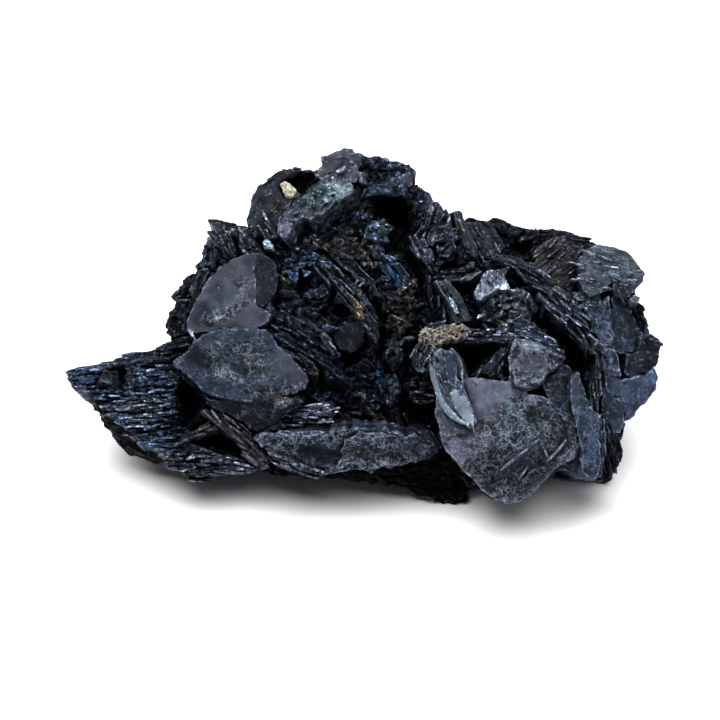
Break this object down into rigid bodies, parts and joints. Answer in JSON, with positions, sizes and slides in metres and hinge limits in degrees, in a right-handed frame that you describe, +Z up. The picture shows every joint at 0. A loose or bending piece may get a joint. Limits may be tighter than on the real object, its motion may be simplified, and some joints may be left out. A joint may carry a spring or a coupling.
{
  "type": "berthierite mineral specimen",
  "caption": "Hand-size cluster of bluish-black metallic berthierite: smooth discs, fibrous blades and jagged plates grown together, resting on a flat broken base.",
  "frame": {"origin": "middle of the bounding box, at the height of the surface that the specimen rests on", "axes": "+X along the specimen from the tapering tail to the end plates, -Y towards the viewer of the showy face, +Z up"},
  "size_m": [0.0944, 0.0522, 0.0455],
  "materials": {
    "berthierite": "metallic bluish black, smooth greyish discs, finely fibrous blades, pale worn edges",
    "tan_matrix": "matt cream tan, fine grained",
    "ochre_crust": "matt crumbly yellow tan crust"
  },
  "bodies": {
    "root": {"crystal_cluster": "berthierite", "tan_matrix_grain": "tan_matrix", "ochre_crust": "ochre_crust"}
  },
  "joints": []
}
